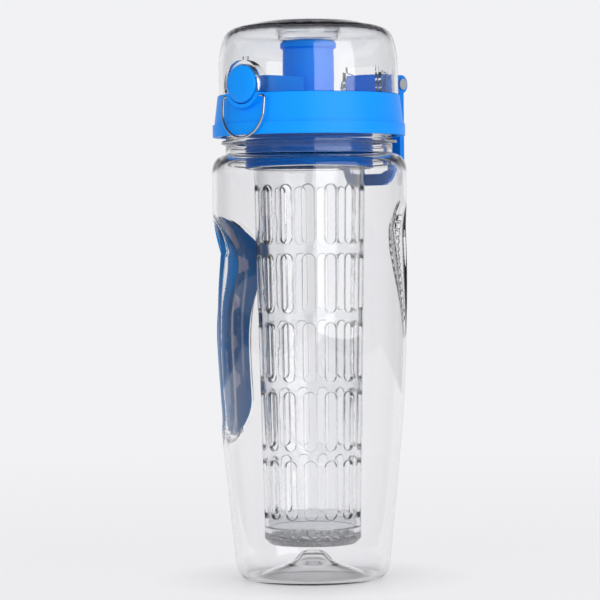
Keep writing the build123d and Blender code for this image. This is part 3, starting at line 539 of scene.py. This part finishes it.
reach = paper.nodes.new("ShaderNodeVectorMath")
reach.operation = "LENGTH"
paper.links.new(floor_place.outputs["Object"], reach.inputs[0])
fade = paper.nodes.new("ShaderNodeMapRange")
fade.inputs["From Min"].default_value, fade.inputs["From Max"].default_value = NEAR, FAR
fade.inputs["To Min"].default_value, fade.inputs["To Max"].default_value = NEAR_SHARE, 1.0
paper.links.new(reach.outputs["Value"], fade.inputs["Value"])
glow = paper.nodes.new("ShaderNodeEmission")
glow.inputs["Color"].default_value = PALE
paper_mix = paper.nodes.new("ShaderNodeMixShader")
paper.links.new(paper_shader.outputs[0], paper_mix.inputs[1])
paper.links.new(glow.outputs[0], paper_mix.inputs[2])
floor_path = paper.nodes.new("ShaderNodeLightPath")
lit_or_seen = paper.nodes.new("ShaderNodeMath")
lit_or_seen.operation = "SUBTRACT"
lit_or_seen.inputs[0].default_value = 1.0
paper.links.new(floor_path.outputs["Is Diffuse Ray"], lit_or_seen.inputs[1])
under = paper.nodes.new("ShaderNodeMapRange")
under.inputs["From Min"].default_value, under.inputs["From Max"].default_value = UNDER_NEAR, UNDER_FAR
under.inputs["To Min"].default_value, under.inputs["To Max"].default_value = UNDER_SHARE, 1.0
paper.links.new(reach.outputs["Value"], under.inputs["Value"])
shadowed = paper.nodes.new("ShaderNodeMath")
shadowed.operation = "MULTIPLY"
paper.links.new(fade.outputs["Result"], shadowed.inputs[0])
paper.links.new(under.outputs["Result"], shadowed.inputs[1])
share = paper.nodes.new("ShaderNodeMath")
share.operation = "MULTIPLY"
paper.links.new(shadowed.outputs[0], share.inputs[0])
paper.links.new(lit_or_seen.outputs[0], share.inputs[1])
paper.links.new(share.outputs[0], paper_mix.inputs[0])
paper.links.new(paper_mix.outputs[0], paper.nodes["Material Output"].inputs["Surface"])
floor.data.materials.append(floor_paint)

# Studio surroundings: the same pale colour all round. Glass and metal also see a dark ceiling and dark
# stretches in front, to the left and to the right, which draw the clear pieces' outlines.
DARK, DULL_LIGHT = (0.02, 0.02, 0.03, 1), (0.50, 0.505, 0.52, 1)
world = bpy.data.worlds.new("studio")
bpy.context.scene.world = world
world.use_nodes = True
sky = world.node_tree


def sky_math(operation, *inputs):
    """One step of arithmetic in the world's tree: each input is a number or another node's output."""
    step = sky.nodes.new("ShaderNodeMath")
    step.operation = operation
    for socket, value in zip(step.inputs, inputs):
        if isinstance(value, (int, float)):
            socket.default_value = value
        else:
            sky.links.new(value, socket)
    return step.outputs[0]


def sky_ease(value, low, high):
    """An S-curve from 0 at low to 1 at high."""
    curve = sky.nodes.new("ShaderNodeMapRange")
    curve.interpolation_type = "SMOOTHSTEP"
    curve.inputs["From Min"].default_value, curve.inputs["From Max"].default_value = low, high
    sky.links.new(value, curve.inputs["Value"])
    return curve.outputs["Result"]


heading = sky.nodes.new("ShaderNodeTexCoord")
parts = sky.nodes.new("ShaderNodeSeparateXYZ")
sky.links.new(heading.outputs["Generated"], parts.inputs[0])
bearing_of = sky_math("ARCTAN2", parts.outputs["Y"], parts.outputs["X"])


def dark_stretch(middle, full, none, strength):
    """A dark part of the surroundings: whole within one angle of its middle bearing, gone by another."""
    near = sky_math("COSINE", sky_math("SUBTRACT", bearing_of, math.radians(middle)))
    whole_at, gone_at = math.cos(math.radians(full)), math.cos(math.radians(none))
    return sky_math("MULTIPLY", sky_ease(near, gone_at, whole_at), strength)


front, left = dark_stretch(-50, 30, 62, 0.80), dark_stretch(217, 32, 58, 0.80)
light_path = sky.nodes.new("ShaderNodeLightPath")
# the right one is dark to what shines through a wall, and faint to what is mirrored by its outside
right_share = sky_math("MULTIPLY_ADD", light_path.outputs["Is Transmission Ray"], 0.62, 0.25)
right = sky_math("MULTIPLY", dark_stretch(48, 38, 62, 1.0), right_share)
flags = sky_math("MAXIMUM", sky_math("MAXIMUM", front, left), right)
ceiling = sky_math("MULTIPLY", sky_ease(parts.outputs["Z"], 0.14, 0.40), 0.97)
darkness = sky_math("MAXIMUM", flags, ceiling)
by_glass = sky_math("MAXIMUM", light_path.outputs["Is Glossy Ray"], light_path.outputs["Is Transmission Ray"])
darkness = sky_math("MULTIPLY", darkness, by_glass)
# what lights a dull piece through a clear one sees none of it
no_dull_yet = sky_math("LESS_THAN", light_path.outputs["Diffuse Depth"], 0.5)
darkness = sky_math("MULTIPLY", darkness, no_dull_yet)
lit = sky_math("MAXIMUM", light_path.outputs["Is Camera Ray"], by_glass)
shade = sky.nodes.new("ShaderNodeMix")
shade.data_type = "RGBA"
shade.inputs["A"].default_value = PALE
shade.inputs["B"].default_value = DARK
sky.links.new(darkness, shade.inputs["Factor"])
chosen = sky.nodes.new("ShaderNodeMix")
chosen.data_type = "RGBA"
chosen.inputs["A"].default_value = DULL_LIGHT
sky.links.new(shade.outputs["Result"], chosen.inputs["B"])
sky.links.new(lit, chosen.inputs["Factor"])
sky.links.new(chosen.outputs["Result"], sky.nodes["Background"].inputs["Color"])


# Lamps: one tall soft box to the right of the camera, which shows as the bright upright band in the
# clear pieces, and two fills that nothing mirrors.
def soft_lamp(name, place, aim, width, height, power, mirrored):
    """A flat soft lamp that faces the aim point; unless mirrored, shiny and clear things don't show it."""
    lamp = bpy.data.lights.new(name, "AREA")
    lamp.shape = "RECTANGLE"
    lamp.size, lamp.size_y = width, height
    lamp.energy = power
    holder = bpy.data.objects.new(name, lamp)
    bpy.context.scene.collection.objects.link(holder)
    holder.location = place
    holder.rotation_euler = (Vector(aim) - Vector(place)).to_track_quat("-Z", "Y").to_euler()
    holder.visible_glossy = mirrored
    holder.visible_transmission = mirrored


CAMERA_BEARING = math.radians(42)  # the camera stands this far round from the button's side
SOFTBOX_SIDE = math.radians(34)  # the soft box's middle is this far round from the camera
SOFTBOX_AWAY, SOFTBOX_Z, SOFTBOX_W, SOFTBOX_H = 1.3, 0.525, 1.3, 1.05
softbox_turn = CAMERA_BEARING - math.pi / 2 + SOFTBOX_SIDE
softbox_x, softbox_y = SOFTBOX_AWAY * math.cos(softbox_turn), SOFTBOX_AWAY * math.sin(softbox_turn)
softbox_place, softbox_aim = (softbox_x, softbox_y, SOFTBOX_Z), (0, 0, SOFTBOX_Z)
soft_lamp("right_softbox", softbox_place, softbox_aim, SOFTBOX_W, SOFTBOX_H, 10.5, True)
soft_lamp("front_fill", (0.2, -1.5, 0.8), (0, 0, 0.2), 0.8, 0.8, 6, False)
soft_lamp("back_fill", (-0.6, 1.3, 0.9), (0, 0, 0.2), 0.7, 0.7, 4, False)

# Camera: the photograph's view, from the corner between the button's side and the right side, with a
# long lens a little above the bottle's middle.
AIM_Z, AIM_RIGHT, CAMERA_AWAY = 0.128, -0.0049, 1.242
CAMERA_TILT, CAMERA_ROLL = math.radians(1.14), math.radians(-0.6)
toward = Vector((math.sin(CAMERA_BEARING), -math.cos(CAMERA_BEARING), 0))
sideways = Vector((math.cos(CAMERA_BEARING), math.sin(CAMERA_BEARING), 0))
aim = Vector((0, 0, AIM_Z)) + sideways * AIM_RIGHT
back = toward * math.cos(CAMERA_TILT) + Vector((0, 0, math.sin(CAMERA_TILT)))
camera_data = bpy.data.cameras.new("camera")
camera_data.lens, camera_data.sensor_width = 162, 36
camera = bpy.data.objects.new("camera", camera_data)
bpy.context.scene.collection.objects.link(camera)
camera.location = aim + back * CAMERA_AWAY
camera.rotation_mode = "QUATERNION"
camera.rotation_quaternion = (-back).to_track_quat("-Z", "Y")
roll = Matrix.Rotation(CAMERA_ROLL, 4, "Z").to_quaternion()
camera.rotation_quaternion = camera.rotation_quaternion @ roll
camera_data.clip_start, camera_data.clip_end = 0.05, 30
bpy.context.scene.camera = camera
bpy.context.scene.view_settings.view_transform = "Standard"
